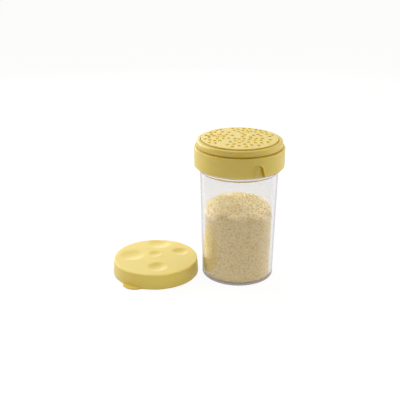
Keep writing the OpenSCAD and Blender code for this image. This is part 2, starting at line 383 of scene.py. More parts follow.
class Tree:
    """The node tree of a material or a world, filled by one method."""

    def __init__(self, owner):
        self.owner = owner
        owner.use_nodes = True
        self.nodes = owner.node_tree.nodes
        self.links = owner.node_tree.links
        self.nodes.clear()

    def node(self, kind, settings=None, **inputs):
        """Adds a node; Base_Color fills its socket Base Color, and _1 its second socket."""
        node = self.nodes.new("ShaderNode" + kind)
        for key, value in (settings or {}).items():
            setattr(node, key, value)
        for key, value in inputs.items():
            place = int(key[1:]) if key[0] == "_" else key.replace("_", " ")
            socket = node.inputs[place]
            if isinstance(value, Value):
                self.links.new(value.socket, socket)
            else:
                socket.default_value = value
        return node

    def value(self, node, output=0):
        """One output of a node as a value for expressions."""
        return Value(self, node.outputs[output])


class Value:
    """A socket with arithmetic."""

    def __init__(self, tree, socket):
        self.tree = tree
        self.socket = socket

    def maths(self, operation, a, b):
        """A Math node on two values."""
        return self.tree.value(self.tree.node("Math", {"operation": operation}, _0=a, _1=b))

    def __add__(self, other):
        return self.maths("ADD", self, other)

    def __radd__(self, other):
        return self.maths("ADD", other, self)

    def __sub__(self, other):
        return self.maths("SUBTRACT", self, other)

    def __rsub__(self, other):
        return self.maths("SUBTRACT", other, self)

    def __mul__(self, other):
        return self.maths("MULTIPLY", self, other)

    def __rmul__(self, other):
        return self.maths("MULTIPLY", other, self)


def linear(r, g, b):
    """A colour picked as 0 to 255 screen values, as linear light by the usual screen curve."""
    def channel(c):
        c = c / 255
        return c / 12.92 if c <= 0.04045 else ((c + 0.055) / 1.055) ** 2.4
    return (channel(r), channel(g), channel(b), 1)


def coordinates(tree):
    """Object coordinates."""
    return tree.value(tree.node("TexCoord"), "Object")


def noise_value(tree, scale, detail, roughness=0.5):
    """Noise from 0 to 1 on object coordinates; scale is in cells a metre."""
    place = coordinates(tree)
    node = tree.node("TexNoise", Vector=place, Scale=scale, Detail=detail, Roughness=roughness)
    return tree.value(node, "Fac")


def remapped(tree, value, span, result=(0.0, 1.0), eased=False):
    """A value carried from one span to another and held at both ends, straight or eased."""
    kind = {"interpolation_type": "SMOOTHSTEP" if eased else "LINEAR"}
    low, high = span
    node = tree.node("MapRange", kind, Value=value, _1=low, _2=high, _3=result[0], _4=result[1])
    return tree.value(node)


def colour_mix(tree, share, a, b):
    """A blend of two colours."""
    node = tree.node("Mix", {"data_type": "RGBA"}, _0=share, _6=a, _7=b)
    return tree.value(node, 2)


def shader_mix(tree, share, a, b):
    """A blend of two shaders."""
    return tree.node("MixShader", _0=share, _1=tree.value(a), _2=tree.value(b))


def bump(tree, height, distance, strength):
    """A bumped normal; distance is in metres."""
    node = tree.node("Bump", Height=height, Distance=distance, Strength=strength)
    return tree.value(node, "Normal")


def surfaced(tree, shader, output="OutputMaterial"):
    """What the tree belongs to, with the shader as its surface."""
    tree.links.new(shader.outputs[0], tree.node(output).inputs["Surface"])
    return tree.owner


# Finishes

def yellow_plastic(name, pale, full, through, glow_share, sheen):
    """Yellow moulded plastic: satin, a little translucent, with flow marks and a mould texture."""
    tree = Tree(bpy.data.materials.new(name))
    flow = noise_value(tree, scale=45, detail=2)
    grain = noise_value(tree, scale=1500, detail=2)
    plastic = tree.node(
        "BsdfPrincipled",
        Base_Color=colour_mix(tree, flow, full, pale),
        Roughness=0.3 + 0.1 * grain,
        Normal=bump(tree, grain, distance=0.00002, strength=0.6),
        IOR=1.49,
        Subsurface_Weight=0.4,
        Subsurface_Radius=(0.0015, 0.001, 0.0003),
        Subsurface_Scale=1.0,
        Sheen_Weight=sheen,
        Sheen_Roughness=0.5,
    )
    glow = tree.node("BsdfTranslucent", Color=through)
    return surfaced(tree, shader_mix(tree, glow_share, plastic, glow))


def clear_plastic(name, painted_span, painted_share, painted_colour):
    """Clear moulded plastic that lamps shine through, faintly wavy, with a painted colour mixed in
    where it turns away from the view: painted shade along the walls' edges.
    """
    tree = Tree(bpy.data.materials.new(name))
    waves = noise_value(tree, scale=35, detail=1)
    facing = tree.value(tree.node("LayerWeight", Blend=0.5), "Facing")
    edge = remapped(tree, facing, painted_span, (0.0, painted_share))
    glass = tree.node(
        "BsdfPrincipled",
        Base_Color=(0.855, 0.855, 0.865, 1),
        Roughness=0.004 + 0.012 * waves,
        Normal=bump(tree, waves, distance=0.0003, strength=0.25),
        Transmission_Weight=1.0,
        IOR=1.52,
    )
    # A diffuse sheet in the painted colour, mixed in by the span: it paints shade along the edges,
    # and in the lines round the jar it paints shade, reflection and highlight
    painted_sheet = tree.node("BsdfDiffuse", Color=painted_colour)
    clear = tree.node("BsdfTransparent", Color=(0.91, 0.91, 0.91, 1))
    shadow = tree.value(tree.node("LightPath"), "Is Shadow Ray")
    painted_glass = shader_mix(tree, edge, glass, painted_sheet)
    return surfaced(tree, shader_mix(tree, shadow, painted_glass, clear))


def painted_line(name, share, colour):
    """Clear plastic with the same painted colour from every side, for a painted line that runs round
    the jar.
    """
    return clear_plastic(name, (-0.2, -0.1), share, colour)


def cheese(name, painted_light_from, painted_light_to):
    """Dry grated cheese: cream and golden grains with painted shade in the gaps between them,
    painted paler above the given heights as light on the heap's top.
    """
    tree = Tree(bpy.data.materials.new(name))
    grains = tree.node("TexVoronoi", Vector=coordinates(tree), Scale=1000 / GRAIN)
    edge = tree.value(grains, "Distance")
    random = tree.value(tree.node("SeparateColor", Color=tree.value(grains, "Color")), "Red")
    patches = noise_value(tree, scale=120, detail=3, roughness=0.6)
    fine = noise_value(tree, scale=2600, detail=2, roughness=0.6)
    share = remapped(tree, 0.5 * random + 0.5 * patches + 0.3 * fine, (0.35, 0.95))
    # Painted shade: the grains' edges take the darker gap colour
    depth = remapped(tree, edge, (0.45, 0.85))
    height = tree.value(tree.node("SeparateXYZ", Vector=coordinates(tree)), "Z")
    height = height + 0.018 * noise_value(tree, scale=60, detail=1)
    # Painted light: above these heights the colours turn paler, for the heap's lit top
    top = remapped(tree, height, (painted_light_from * MM, painted_light_to * MM))
    light = colour_mix(tree, top, linear(222, 209, 162), linear(255, 253, 230))
    dark = colour_mix(tree, top, linear(217, 195, 130), linear(255, 242, 172))
    gap_shade_colour = colour_mix(tree, top, linear(198, 168, 94), linear(228, 190, 92))
    colour = colour_mix(tree, share, dark, light)
    return surfaced(tree, tree.node(
        "BsdfPrincipled",
        Base_Color=colour_mix(tree, depth, colour, gap_shade_colour),
        Roughness=0.75 + 0.2 * fine,
        Normal=bump(tree, fine * 0.4 - edge, distance=0.0004, strength=0.7),
        IOR=1.45,
    ))


def soft_seal():
    """Milky silicone."""
    tree = Tree(bpy.data.materials.new("soft_seal"))
    bloom = noise_value(tree, scale=400, detail=3)
    return surfaced(tree, tree.node(
        "BsdfPrincipled",
        Base_Color=colour_mix(tree, bloom, linear(222, 222, 216), linear(236, 236, 230)),
        Roughness=0.5 + 0.2 * bloom,
        Normal=bump(tree, bloom, distance=0.00003, strength=0.5),
        Subsurface_Weight=0.1,
        Subsurface_Radius=(0.003, 0.003, 0.003),
        Subsurface_Scale=1.0,
    ))


YELLOW = yellow_plastic(
    "yellow_plastic",
    pale=linear(242, 222, 116),
    full=linear(237, 215, 104),
    through=linear(255, 226, 90),
    glow_share=0.1,
    sheen=0.14,
)
# Painted shade: a darker, more saturated and more translucent yellow, laid where shade falls in
# hollows, crevices, the collar's inside and along the lid's foot
PAINTED_SHADE_YELLOW = yellow_plastic(
    "yellow_plastic_painted_shade",
    pale=linear(232, 202, 44),
    full=linear(224, 192, 36),
    through=linear(252, 224, 50),
    glow_share=0.35,
    sheen=0.0,
)
# Painted shade in the sprinkle holes: a deeper, more saturated yellow for their walls
HOLE_PAINTED_SHADE = yellow_plastic(
    "yellow_plastic_hole_painted_shade",
    pale=linear(238, 222, 52),
    full=linear(232, 214, 44),
    through=linear(250, 236, 56),
    glow_share=0.3,
    sheen=0.0,
)
# Both paint shade along the jar's edges where its wall turns away; on the bore it is narrower and
# fainter
CLEAR = clear_plastic("clear_plastic", (0.62, 0.82), 0.5, linear(196, 192, 204))
CLEAR_BORE = clear_plastic("clear_plastic_bore", (0.84, 0.97), 0.35, linear(196, 192, 204))
# Painted shadow: a dark brown line along the jar's base
BASE_PAINTED_SHADOW = painted_line("clear_plastic_base_painted_shadow", 0.72, linear(116, 88, 74))
# Painted reflection: the yellow collar's golden line seen in the flare
FLARE_PAINTED_REFLECTION = painted_line("clear_plastic_flare_painted_reflection", 0.95, linear(208, 154, 14))
# Painted highlight: a near-white band on the upper half of the flare
FLARE_PAINTED_HIGHLIGHT = painted_line("clear_plastic_flare_painted_highlight", 0.9, linear(255, 252, 228))
# Painted shadow: a grey line under the skirt, on the bead's top
BEAD_PAINTED_SHADOW = painted_line("clear_plastic_bead_painted_shadow", 0.6, linear(170, 160, 150))
CHEESE = cheese("grated_cheese", painted_light_from=67, painted_light_to=73)
SEAL = soft_seal()


# Pieces

def place(piece, body, slot, *nodes):
    """Rides a piece on its body and hides the solids it stands for; the slot is not used."""
    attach(piece, body)
    if nodes:
        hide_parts(*nodes)
    return piece


def paint_light_on_faces(obj, material, chosen):
    """Gives another material to the faces whose middle, in millimetres, and normal are chosen; here
    it paints shade, reflection and highlight on them.
    """
    if material.name not in obj.data.materials:
        obj.data.materials.append(material)
    index = obj.data.materials.find(material.name)
    for face in obj.data.polygons:
        if chosen(face.center / MM, face.normal):
            face.material_index = index


def band(low_z, high_z, inner_r):
    """For painting light on faces: chooses faces between two heights and further out than a radius.
    """
    return lambda middle, normal: low_z < middle.z < high_z and middle.xy.length > inner_r


def make_jar():
    """Clear jar: tapered thick wall, shoulder bead, threaded neck."""
    flare_line_z = BODY_H + (BEAD_Z - BODY_H) * FLARE_LINE_SHARE
    bead_line_z = NECK_Z - BEAD_LINE_H
    corners = [
        (0, 0, 0),
        (BASE_R, 0, BASE_ROUND),
        (BASE_R + (TOP_R - BASE_R) * BASE_RIM_H / BODY_H, BASE_RIM_H, 0),
        (TOP_R, BODY_H, 0.2),
        (TOP_R + (BEAD_R - TOP_R) * FLARE_LINE_SHARE, flare_line_z, 0),
        (BEAD_R, BEAD_Z, 0.3),
        (BEAD_R, bead_line_z, 0),
        (BEAD_R, NECK_Z, 0.2),
        (NECK_R, NECK_Z, 0.3),
        (NECK_R, MOUTH_Z, 0.5),
        (NECK_BORE_R, MOUTH_Z, 0.5),
        (NECK_BORE_R, FUNNEL_TOP_Z, 1.5),
        (BORE_TOP_R, FUNNEL_LOW_Z, 1.5),
        (BORE_BASE_R, FLOOR_T, BORE_ROUND),
        (0, FLOOR_T, 0),
    ]

    def spacing(point):
        """Close together on the neck, where the thread is."""
        on_neck = point[1] > NECK_Z and point[0] > NECK_R - 0.1
        return 0.3 if on_neck else 2.5

    def shape(angle, radius, height):
        """Raises the thread from the neck."""
        neck = (radius > NECK_R - NEAR) & (height > NECK_Z + THREAD_CLEAR)
        neck &= height < MOUTH_Z - 2 * THREAD_CLEAR
        return radius + np.where(neck, thread_height(angle, height, JAR_THREAD_Z), 0), height

    def in_bore(middle, normal):
        """Faces above the floor that look at the axis."""
        return middle.z > BORE_FINISH_Z and middle.xy.dot(normal.xy) < 0

    outline = densified(rounded(corners), spacing, closed=False)
    jar = turned("clear_jar", outline, columns(216), CLEAR, shape, closed=False)
    paint_light_on_faces(jar, CLEAR_BORE, in_bore)
    # Painted shadow along the base's bottom round
    paint_light_on_faces(jar, BASE_PAINTED_SHADOW, band(-math.inf, BASE_RIM_H, BASE_R - 3))
    # Painted reflection of the collar on the lower half of the flare
    paint_light_on_faces(jar, FLARE_PAINTED_REFLECTION, band(BODY_H, flare_line_z, TOP_R - 0.1))
    # Painted highlight on the upper half of the flare
    paint_light_on_faces(jar, FLARE_PAINTED_HIGHLIGHT, band(flare_line_z, BEAD_Z, TOP_R + 0.5))
    # Painted shadow under the skirt, on the bead's top
    paint_light_on_faces(jar, BEAD_PAINTED_SHADOW, band(bead_line_z, NECK_Z, BEAD_R - 0.3))
    place(jar, "jar", "clear_plastic", "jar")


def make_collar():
    """Screw collar: skirt with its thumb recess, ledge, snap groove and rounded upper ring."""
    groove_r = RING_R - GROOVE_DEPTH
    opening_r = PLATE_R + PLATE_GAP
    corners = [
        (SKIRT_BORE_R, SKIRT_Z, 0.4),
        (SKIRT_R, SKIRT_Z, 2.0),
        (SKIRT_R, LEDGE_Z, 0.7),
        (groove_r, LEDGE_Z, 0.15),
        (groove_r, LEDGE_Z + GROOVE_H - GROOVE_DEPTH, 0.1),
        (RING_R, LEDGE_Z + GROOVE_H, 0.25),
        (RING_R, RING_TOP_Z, 3.0),
        (opening_r, RING_TOP_Z, 0.6),
        (opening_r, RING_UNDER_Z, 0.1),
        (RING_BORE_R, RING_UNDER_Z, 0.2),
        (RING_BORE_R, FLANGE_Z, 0),
        (FLANGE_R - KEEPER / 2, FLANGE_Z - KEEPER / 2, 0.1),
        (RING_BORE_R, FLANGE_Z - 2 * KEEPER, 0),
        (RING_BORE_R, LEDGE_Z - LEDGE_T, 0.3),
        (SKIRT_BORE_R, LEDGE_Z - LEDGE_T, 0.5),
    ]
    floor_r = SKIRT_R - RECESS_DEPTH
    arch_z = SKIRT_Z + RECESS_H - RECESS_TOP_R
    arch_half_w = RECESS_TOP_R + (RECESS_H - RECESS_TOP_R) * math.sin(RECESS_FLARE)
    arch_half_w = arch_half_w / math.cos(RECESS_FLARE)

    def spacing(point):
        """Closest on the outside of the skirt, beside the recess."""
        if point[1] > LEDGE_Z:
            return 0.8
        return RECESS_STEP if point[0] > floor_r and point[1] < SKIRT_Z + RECESS_H + 1 else 0.4

    def arch_inside(turn, height):
        """How far inside the arch's edge a place on the skirt is."""
        across = np.abs(SKIRT_R * turn)
        above = height - arch_z
        to_side = RECESS_TOP_R - across * math.cos(RECESS_FLARE) - above * math.sin(RECESS_FLARE)
        to_round = RECESS_TOP_R - np.hypot(across, above)
        return np.where(above > across * math.tan(RECESS_FLARE), to_round, to_side)

    def shape(angle, radius, height):
        """Raises the thread in the bore, and presses the recess with its lip and ribs."""
        bore = (radius > SKIRT_BORE_R - NEAR) & (radius < SKIRT_BORE_R + NEAR)
        bore &= (height > SKIRT_Z + THREAD_CLEAR) & (height < LEDGE_Z - LEDGE_T - THREAD_CLEAR)
        radius = radius - np.where(bore, thread_height(angle, height, COLLAR_THREAD_Z), 0)
        turn = turn_from(RECESS_ANGLE, angle)
        inside = arch_inside(turn, height)
        lip = LIP_RISE * smooth(inside / (LIP_SLOPE_SHARE * LIP_W) + LIP_OUTER_SHARE)
        ribs = np.cos(math.pi * RECESS_RIBS * SKIRT_R * turn / arch_half_w)
        ribs = RIB_DEPTH * ribs * smooth(inside - 2 * LIP_W)
        outer = (radius > floor_r) & (np.abs(turn) < RECESS_HALF_TURN) & (height < LEDGE_Z - NEAR)
        share = smooth((inside - LIP_W) / RECESS_EDGE)
        pressed = radius + lip + (np.minimum(radius, floor_r + ribs) - radius - lip) * share
        return np.where(outer, pressed, radius), height

    def in_ring_or_bore(middle, normal):
        """Faces whose normal leans to the axis."""
        return middle.xy.dot(normal.xy) < -INWARD_SHARE * middle.xy.length

    def in_recess_wall(middle, normal):
        """The wall of the recess, with a border of its floor."""
        turn = math.remainder(math.atan2(middle.y, middle.x) - RECESS_ANGLE, math.tau)
        in_skirt = middle.z < LEDGE_Z - 1 and middle.xy.length > floor_r - 0.3
        inside = arch_inside(turn, middle.z)
        in_wall = LIP_W - 0.05 < inside < LIP_W + RECESS_EDGE + RECESS_BORDER
        return in_skirt and abs(turn) < RECESS_HALF_TURN and in_wall

    def in_groove(middle, normal):
        """The snap groove at the foot of the ring."""
        in_depth = groove_r - 0.1 < middle.xy.length < RING_R - 0.05
        return in_depth and 0 < middle.z - LEDGE_Z < GROOVE_H

    outline = densified(rounded(corners), spacing, closed=True)
    zone = (RECESS_ANGLE, (arch_half_w + 0.6) / SKIRT_R, RECESS_STEP / SKIRT_R)
    collar = turned("shaker_collar_shell", outline, columns(240, [zone]), YELLOW, shape)
    # Painted shade on the faces that lean to the axis, on the recess's wall with a border of its
    # floor, and in the snap groove
    for chosen in (in_ring_or_bore, in_recess_wall, in_groove):
        paint_light_on_faces(collar, PAINTED_SHADE_YELLOW, chosen)
    place(collar, "shaker_top", "yellow_plastic", "shaker_collar")


def hole_places():
    """Places of the sprinkle holes, with the outermost drawn in clear of the rim wall."""
    field_r = RIM_BORE_R - HOLE_R - HOLE_WEB
    spots = []
    for share, degrees in HOLE_RING_SHARES:
        r = min(share * PLATE_R, field_r)
        for angle in map(math.radians, degrees):
            spots.append((r * math.cos(angle), r * math.sin(angle), PLATE_Z))
    return spots


def geometry_tree(name, **inputs):
    """A Geometry Nodes tree with its input and output nodes; inputs gives each name's kind."""
    tree = bpy.data.node_groups.new(name, "GeometryNodeTree")
    for label, kind in (("Geometry", "Geometry"), *inputs.items()):
        tree.interface.new_socket(name=label, in_out="INPUT", socket_type="NodeSocket" + kind)
    tree.interface.new_socket(name="Geometry", in_out="OUTPUT", socket_type="NodeSocketGeometry")
    return tree, tree.nodes.new("NodeGroupInput"), tree.nodes.new("NodeGroupOutput")


def wire(tree, *wires):
    """Links nodes; each wire is given as node, output, node, input."""
    for source, output, target, socket in wires:
        tree.links.new(source.outputs[output], target.inputs[socket])


def near_axis(tree, start):
    """Geometry Nodes: a test for places nearer to the axis than the Reach, and the place's parts."""
    position = tree.nodes.new("GeometryNodeInputPosition")
    parts = tree.nodes.new("ShaderNodeSeparateXYZ")
    flat = tree.nodes.new("ShaderNodeCombineXYZ")
    length = tree.nodes.new("ShaderNodeVectorMath")
    length.operation = "LENGTH"
    near = tree.nodes.new("FunctionNodeCompare")
    near.operation = "LESS_THAN"
    wire(
        tree,
        (position, "Position", parts, "Vector"),
        (parts, "X", flat, "X"),
        (parts, "Y", flat, "Y"),
        (flat, "Vector", length, 0),
        (length, "Value", near, "A"),
        (start, "Reach", near, "B"),
    )
    return near, parts


def perforation_tree(material, hole_shade_material):
    """Geometry Nodes: cuts the cutter out of the plate at each place, and paints shade on the holes'
    walls with the second material.
    """
    tree, start, end = geometry_tree("perforations", Places="Object", Cutter="Object", Reach="Float")
    new = tree.nodes.new
    places = new("GeometryNodeObjectInfo")
    cutter = new("GeometryNodeObjectInfo")
    points = new("GeometryNodeMeshToPoints")
    copies = new("GeometryNodeInstanceOnPoints")
    solid = new("GeometryNodeRealizeInstances")
    cut = new("GeometryNodeMeshBoolean")
    cut.operation = "DIFFERENCE"
    cut.solver = "EXACT"
    normal = new("GeometryNodeInputNormal")
    normal_parts = new("ShaderNodeSeparateXYZ")
    flatness = new("ShaderNodeMath")
    flatness.operation = "ABSOLUTE"
    steep = new("FunctionNodeCompare")
    steep.operation = "LESS_THAN"
    steep.inputs["B"].default_value = HOLE_WALL_UPRIGHT
    near, _ = near_axis(tree, start)
    in_hole = new("FunctionNodeBooleanMath")
    finish = new("GeometryNodeSetMaterial")
    finish.inputs["Material"].default_value = material
    # Painted shade: the steep faces inside the rim, the holes' walls, get the second material
    paint_hole_shade = new("GeometryNodeSetMaterial")
    paint_hole_shade.inputs["Material"].default_value = hole_shade_material
    wire(
        tree,
        (start, "Places", places, "Object"),
        (start, "Cutter", cutter, "Object"),
        (places, "Geometry", points, "Mesh"),
        (points, "Points", copies, "Points"),
        (cutter, "Geometry", copies, "Instance"),
        (copies, "Instances", solid, "Geometry"),
        (start, "Geometry", cut, "Mesh 1"),
        (solid, "Geometry", cut, "Mesh 2"),
        (normal, "Normal", normal_parts, "Vector"),
        (normal_parts, "Z", flatness, 0),
        (flatness, "Value", steep, "A"),
        (steep, "Result", in_hole, 0),
        (near, "Result", in_hole, 1),
        (cut, "Mesh", finish, "Geometry"),
        (finish, "Geometry", paint_hole_shade, "Geometry"),
        (in_hole, "Boolean", paint_hole_shade, "Selection"),
        (paint_hole_shade, "Geometry", end, "Geometry"),
    )
    return tree


def apply_tree(obj, tree, values):
    """Runs a Geometry Nodes tree with its named inputs and leaves a plain mesh on the object."""
    modifier = obj.modifiers.new(tree.name, "NODES")
    modifier.node_group = tree
    for item in tree.interface.items_tree:
        if item.in_out == "INPUT" and item.name in values:
            modifier[item.identifier] = values[item.name]
    evaluated = obj.evaluated_get(bpy.context.evaluated_depsgraph_get())
    mesh = bpy.data.meshes.new_from_object(evaluated)
    obj.modifiers.remove(modifier)
    old = obj.data
    obj.data = mesh
    bpy.data.meshes.remove(old)


def make_plate():
    """Perforated plate: a raised disc on a flange, with a tapered hole at each place."""
    corners = [
        (0, PLATE_Z - PLATE_T, 0),
        (RIM_BORE_R, PLATE_Z - PLATE_T, 0.3),
        (RIM_BORE_R, FLANGE_Z, 0.2),
        (FLANGE_R, FLANGE_Z, 0.2),
        (FLANGE_R, RING_UNDER_Z, 0.2),
        (PLATE_R, RING_UNDER_Z, 0.1),
        (PLATE_R, PLATE_Z, 0.8),
        (0, PLATE_Z, 0),
    ]
    outline = densified(rounded(corners, 5), lambda point: 8.0, closed=False)
    plate = turned("perforated_plate", outline, columns(180), YELLOW, closed=False)
    over = 0.5
    cutter_corners = np.array([
        (0, -PLATE_T - over),
        (HOLE_FOOT_R, -PLATE_T - over),
        (HOLE_FOOT_R, -PLATE_T),
        (HOLE_R, -HOLE_RIM),
        (HOLE_R + HOLE_RIM, 0),
        (HOLE_R + HOLE_RIM, over),
        (0, over),
    ])
    cutter = turned("hole_cutter", cutter_corners, columns(20), None, closed=False)
    spots = bpy.data.meshes.new("hole_places")
    spots.from_pydata([tuple(c * MM for c in spot) for spot in hole_places()], [], [])
    places = add_object("hole_places", spots)
    apply_tree(plate, perforation_tree(YELLOW, HOLE_PAINTED_SHADE), {
        "Places": places,
        "Cutter": cutter,
        "Reach": (RIM_BORE_R - 0.1) * MM,
    })
    plate.data.shade_smooth()
    plate.data.set_sharp_from_angle(angle=math.radians(28))
    # Painted shade on the plate's side wall, in the joint round the ring
    paint_light_on_faces(plate, PAINTED_SHADE_YELLOW, band(-math.inf, PLATE_Z - 0.2, PLATE_R - 0.5))
    for helper in (cutter, places):
        bpy.data.objects.remove(helper)
    place(plate, "shaker_top", "yellow_plastic", "sprinkle_plate")


def dimple_floor(x, y, wall):
    """Height of the lowest dimple surface at each place, lower by the wall for the lid's inside."""
    nowhere = 1e3
    floor = np.full_like(x, nowhere)
    for across, away, radius, depth in DIMPLE_SHARES:
        mouth_r = radius * LID_TOP_R
        deep = depth * DIMPLE_DEPTH_SHARE * LID_TOP_R
        ball_r = (mouth_r ** 2 + deep ** 2) / (2 * deep)
        off = np.hypot(x - across * LID_TOP_R, y - away * LID_TOP_R)
        reach = np.sqrt(np.maximum((ball_r + wall) ** 2 - off ** 2, 0))
        ball = LID_H - deep + ball_r - reach
        floor = np.minimum(floor, np.where(off < mouth_r * DIMPLE_REACH_SHARE, ball, nowhere))
    return floor


def make_lid():
    """Snap lid: cup with a rounded top edge, five pressed dimples, snap bead and lifting tab."""
    bore_top_r = LID_TOP_R - LID_WALL
    under_z = LID_H - LID_TOP_T
    slack = 0.02
    corners = [
        (0, LID_H, 0),
        (LID_TOP_R, LID_H, LID_ROUND),
        (LID_R, TAB_T + slack, 0),
        (LID_R, TAB_T, 0),
        (LID_R, LID_FOOT_H, 0),
        (LID_R, 0, LID_FOOT_ROUND),
        (LID_BORE_R, 0, 0.2),
        (LID_BORE_R, SNAP, 0.1),
        (LID_BORE_R - SNAP, 2 * SNAP, 0.2),
        (LID_BORE_R, 3 * SNAP, 0.1),
        (bore_top_r, under_z, 1.0),
        (0, under_z, 0),
    ]
    tab_centre = LID_R + TAB_OUT - TAB_R

    def spacing(point):
        """Close together on both faces of the top, where the dimples are."""
        return 0.55 if point[1] > under_z - 0.1 else 1.6

    def shape(angle, radius, height):
        """Presses the dimples, with soft lips, and draws the tab out of the rim."""
        x, y = radius * np.cos(angle), radius * np.sin(angle)
        under = (height < under_z + NEAR) & (radius < bore_top_r)
        floor = np.where(under, dimple_floor(x, y, LID_TOP_T), dimple_floor(x, y, 0))
        blend = np.clip(0.5 + 0.5 * (floor - height) / DIMPLE_LIP, 0, 1)
        pressed = floor + (height - floor) * blend - DIMPLE_LIP * blend * (1 - blend)
        height = np.where(height > LID_H - 3 * LID_TOP_T, np.minimum(pressed, height), height)
        turn = turn_from(TAB_ANGLE, angle)
        across = np.clip(np.abs(tab_centre * np.sin(turn)), 0, TAB_R)
        tab = tab_centre * np.cos(turn) + np.sqrt(TAB_R ** 2 - across ** 2)
        tab = np.where(np.abs(turn) < TAB_HALF_TURN, np.maximum(tab, LID_R), LID_R)
        rim = (height < TAB_T + slack / 2) & (radius > LID_R - 0.5)
        return np.where(rim, radius + tab - LID_R, radius), height

    def in_foot_line(middle, normal):
        """The line where the lid stands on the table."""
        off_axis = middle.xy - Vector((LID_X, 0))
        return middle.z < LID_FOOT_H and off_axis.length > LID_BORE_R

    outline = densified(rounded(corners), spacing, closed=False)
    angles = columns(288, [TAB_ZONE])
    at = (LID_X, 0, 0)
    lid = turned("snap_lid", outline, angles, YELLOW, shape, closed=False, at=at, sharp=50)
    # Painted shade along the lid's foot, where it stands on the table
    paint_light_on_faces(lid, PAINTED_SHADE_YELLOW, in_foot_line)
    place(lid, "lid", "yellow_plastic", "lid")


def cheese_top(x, y):
    """Height of the heap's top over each place of the jar's bore."""
    off = np.minimum(np.hypot(x, y) / BORE_BASE_R, 1)
    hollow = CHEESE_HOLLOW * np.exp(-(off / CHEESE_HOLLOW_SHARE) ** 2)
    return CHEESE_RIM_Z + CHEESE_CROWN * (1 - off ** CHEESE_FULLNESS) - hollow


def make_cheese():
    """Grated cheese: a packed side and an uneven heap."""
    foot_r = BORE_BASE_R - CHEESE_GAP
    slope = (BORE_TOP_R - BORE_BASE_R) / (BODY_H - FLOOR_T)
    edge_r = foot_r + slope * (CHEESE_RIM_Z - FLOOR_T)
    corners = [
        (0, FLOOR_T + CHEESE_LIFT, 0),
        (foot_r + CHEESE_GAP / 2, FLOOR_T + CHEESE_LIFT, BORE_ROUND),
        (edge_r, CHEESE_RIM_Z, 0.8),
        (0, CHEESE_RIM_Z + 1, 0),
    ]

    def spacing(point):
        """Close together on the top."""
        return 0.5 if point[1] > CHEESE_RIM_Z - 1 else 1.2

    def shape(angle, radius, height):
        """Heaps the top, and makes the top and the side uneven."""
        top = height > CHEESE_RIM_Z - CHEESE_EDGE_H
        x, y = radius * np.cos(angle), radius * np.sin(angle)
        height = np.where(top, cheese_top(x, y), height)
        side_scale, side_size = SIDE_LUMPS
        rough = np.zeros_like(height)
        for i in np.ndindex(height.shape):
            spot = Vector((x[i], y[i], height[i]))
            if top[i]:
                rough[i] = sum(noise.noise(spot * scale) * size for scale, size in TOP_LUMPS)
            else:
                rough[i] = noise.noise(spot * side_scale) * side_size
        side = (radius > CHEESE_CORE_R) & ~top
        radius = radius - np.where(side, side_size + rough, 0)
        return radius, height + np.where(top, rough, 0)

    outline = densified(rounded(corners), spacing, closed=False)
    return turned("cheese_heap", outline, columns(240), CHEESE, shape, closed=False, sharp=180)


def crumb_tree(material):
    """Geometry Nodes: scatters turned and scaled copies of a crumb over the heap's upper faces."""
    tree, start, end = geometry_tree(
        "crumbs", Crumb="Object", Density="Float", Lowest="Float", Reach="Float", Seed="Int",
    )
    new = tree.nodes.new
    crumb = new("GeometryNodeObjectInfo")
    normal = new("GeometryNodeInputNormal")
    normal_parts = new("ShaderNodeSeparateXYZ")
    up = new("FunctionNodeCompare")
    up.operation = "GREATER_THAN"
    up.inputs["B"].default_value = CRUMB_UPRIGHT
    near, place_parts = near_axis(tree, start)
    high = new("FunctionNodeCompare")
    high.operation = "GREATER_THAN"
    up_and_high = new("FunctionNodeBooleanMath")
    chosen = new("FunctionNodeBooleanMath")
    scatter = new("GeometryNodeDistributePointsOnFaces")
    turn = new("FunctionNodeRandomValue")
    turn.data_type = "FLOAT_VECTOR"
    turn.inputs["Min"].default_value = CRUMB_TURN_LOW
    turn.inputs["Max"].default_value = CRUMB_TURN_HIGH
    size = new("FunctionNodeRandomValue")
    size.data_type = "FLOAT_VECTOR"
    size.inputs["Min"].default_value = CRUMB_SCALE_LOW
    size.inputs["Max"].default_value = CRUMB_SCALE_HIGH
    copies = new("GeometryNodeInstanceOnPoints")
    solid = new("GeometryNodeRealizeInstances")
    finish = new("GeometryNodeSetMaterial")
    finish.inputs["Material"].default_value = material
    wire(
        tree,
        (start, "Crumb", crumb, "Object"),
        (normal, "Normal", normal_parts, "Vector"),
        (normal_parts, "Z", up, "A"),
        (place_parts, "Z", high, "A"),
        (start, "Lowest", high, "B"),
        (up, "Result", up_and_high, 0),
        (high, "Result", up_and_high, 1),
        (up_and_high, "Boolean", chosen, 0),
        (near, "Result", chosen, 1),
        (start, "Geometry", scatter, "Mesh"),
        (start, "Density", scatter, "Density"),
        (start, "Seed", scatter, "Seed"),
        (chosen, "Boolean", scatter, "Selection"),
        (scatter, "Points", copies, "Points"),
        (crumb, "Geometry", copies, "Instance"),
        (turn, "Value", copies, "Rotation"),
        (size, "Value", copies, "Scale"),
        (copies, "Instances", solid, "Geometry"),
        (solid, "Geometry", finish, "Geometry"),
        (finish, "Geometry", end, "Geometry"),
    )
    return tree


